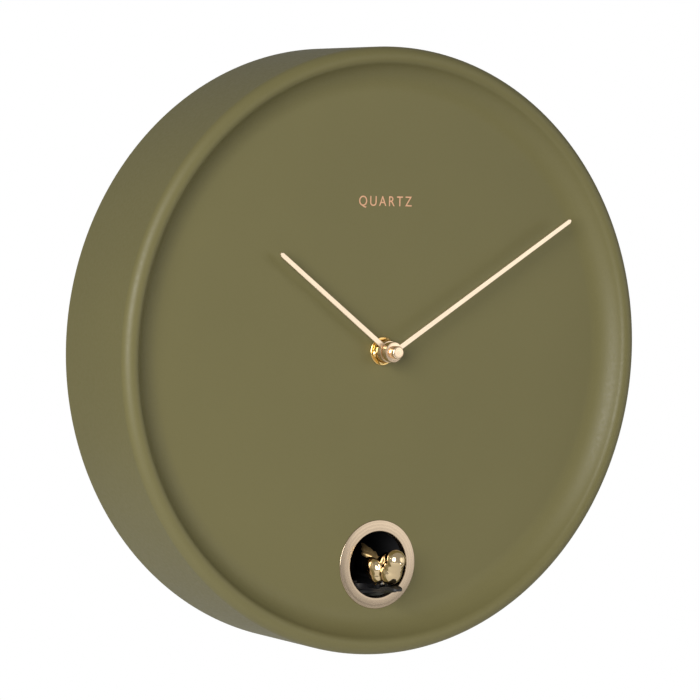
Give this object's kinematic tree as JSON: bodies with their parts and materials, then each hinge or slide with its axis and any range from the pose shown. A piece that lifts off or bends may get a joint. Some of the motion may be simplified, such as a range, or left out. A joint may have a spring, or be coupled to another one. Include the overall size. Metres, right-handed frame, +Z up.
{
  "type": "wall clock",
  "caption": "Round wall clock with a deep dished metal case, two stick hands, and a gold bird that slides out of a ringed window below them.",
  "frame": {"origin": "centre of the clock's flat back face, on the hands' axis, where it meets the wall", "axes": "+Y into the wall (the dial faces -Y), +X to the right seen from the front, +Z up"},
  "size_m": [0.3, 0.0725, 0.3],
  "materials": {
    "case_paint": "satin moss-olive powder coat on pressed steel",
    "champagne": "brushed champagne-gold anodised aluminium",
    "hub_brass": "polished brass",
    "gold_plate": "mirror gold metallised plastic",
    "steel": "zinc-plated steel",
    "black_plastic": "fine-grained black moulded ABS",
    "grey_plastic": "moulded grey ABS",
    "white_plastic": "natural acetal",
    "rubber": "black rubber",
    "board_green": "solder-masked circuit board",
    "copper": "lacquered copper winding",
    "cell_wrap": "printed cell wrapper without lettering",
    "cone_paper": "pressed paper pulp"
  },
  "bodies": {
    "case": {"case_shell": "case_paint", "window_ring": "champagne", "hub_bushing": "hub_brass", "hub_washer": "hub_brass", "hub_nut": "hub_brass", "hanger_bracket": "steel", "stator": "steel", "drive_motor": "steel", "contact_strip_top": "steel", "contact_strip_bottom": "steel", "speaker_frame": "steel", "speaker_magnet": "steel", "back_cover": "black_plastic", "movement_base": "black_plastic", "movement_cover": "black_plastic", "drive_housing": "black_plastic", "gear_cover": "black_plastic", "battery_box": "black_plastic", "sound_chip": "black_plastic", "switch_body": "black_plastic", "hub_gasket": "rubber", "tunnel_gasket": "rubber", "speaker_lead": "rubber", "battery_lead": "rubber", "motor_lead": "rubber", "movement_board": "board_green", "control_board": "board_green", "coil": "copper", "battery_1": "cell_wrap", "battery_2": "cell_wrap", "battery_3": "cell_wrap", "speaker_cone": "cone_paper", "case_post_1": "steel", "cover_screw_1": "steel", "case_post_2": "steel", "cover_screw_2": "steel", "case_post_3": "steel", "cover_screw_3": "steel", "case_post_4": "steel", "cover_screw_4": "steel"},
    "minute_works": {"minute_arbor": "steel", "center_wheel": "white_plastic", "minute_hand": "champagne", "hand_cap": "champagne"},
    "hour_works": {"hour_wheel": "white_plastic", "hour_hand": "champagne"},
    "set_works": {"set_wheel": "white_plastic", "set_stem": "white_plastic", "set_knob": "grey_plastic"},
    "third_works": {"third_wheel": "white_plastic"},
    "rotor_works": {"rotor": "white_plastic"},
    "carriage": {"bird_carriage": "black_plastic", "bird_pivot_pin": "steel"},
    "bird": {"bird": "gold_plate"},
    "pinion_works": {"rack_pinion": "white_plastic", "reduction_gear": "white_plastic"},
    "motor_works": {"motor_pinion": "hub_brass"},
    "door": {"battery_door": "black_plastic"},
    "slider": {"switch_slider": "grey_plastic"}
  },
  "joints": [
    {"name": "minute_hand_turn", "type": "hinge", "parent": "case", "child": "minute_works", "pos_m": [0, 0, 0], "axis": [0, 1, 0], "continuous": true},
    {"name": "hour_hand_turn", "type": "hinge", "parent": "case", "child": "hour_works", "pos_m": [0, 0, 0], "axis": [0, 1, 0], "continuous": true},
    {"name": "set_knob_turn", "type": "hinge", "parent": "case", "child": "set_works", "pos_m": [0, 0, -0.014], "axis": [0, 1, 0], "continuous": true},
    {"name": "third_wheel_turn", "type": "hinge", "parent": "case", "child": "third_works", "pos_m": [-0.01152, 0, 0.00665], "axis": [0, 1, 0], "continuous": true},
    {"name": "rotor_turn", "type": "hinge", "parent": "case", "child": "rotor_works", "pos_m": [-0.00769, 0, 0.01717], "axis": [0, 1, 0], "continuous": true},
    {"name": "bird_slide", "type": "slide", "parent": "case", "child": "carriage", "axis": [0, 1, 0], "range_m": [0, 0.026]},
    {"name": "bird_bow", "type": "hinge", "parent": "carriage", "child": "bird", "pos_m": [0, -0.054, -0.1153], "axis": [1, 0, 0], "range_deg": [0, 5], "stiffness_Nm_per_rad": 0.0008, "springref_deg": -28.65},
    {"name": "rack_pinion_turn", "type": "hinge", "parent": "case", "child": "pinion_works", "pos_m": [0, -0.032, -0.1234], "axis": [1, 0, 0], "range_deg": [-298, 0]},
    {"name": "motor_pinion_turn", "type": "hinge", "parent": "case", "child": "motor_works", "pos_m": [0, -0.02274, -0.13443], "axis": [1, 0, 0], "range_deg": [0, 1043]},
    {"name": "battery_door_swing", "type": "hinge", "parent": "case", "child": "door", "pos_m": [0.069, -0.0011, 0.0278], "axis": [1, 0, 0], "range_deg": [0, 90]},
    {"name": "switch_slide", "type": "slide", "parent": "case", "child": "slider", "axis": [1, 0, 0], "range_m": [0, 0.004]}
  ],
  "couplings": [
    {"joint": "hour_hand_turn", "follows": "minute_hand_turn", "ratio": 0.083333},
    {"joint": "set_knob_turn", "follows": "minute_hand_turn", "ratio": -0.33333},
    {"joint": "third_wheel_turn", "follows": "minute_hand_turn", "ratio": -3.75},
    {"joint": "rotor_turn", "follows": "minute_hand_turn", "ratio": 11.25},
    {"joint": "rack_pinion_turn", "follows": "bird_slide", "rad_per_m": -200},
    {"joint": "motor_pinion_turn", "follows": "bird_slide", "rad_per_m": 700}
  ]
}
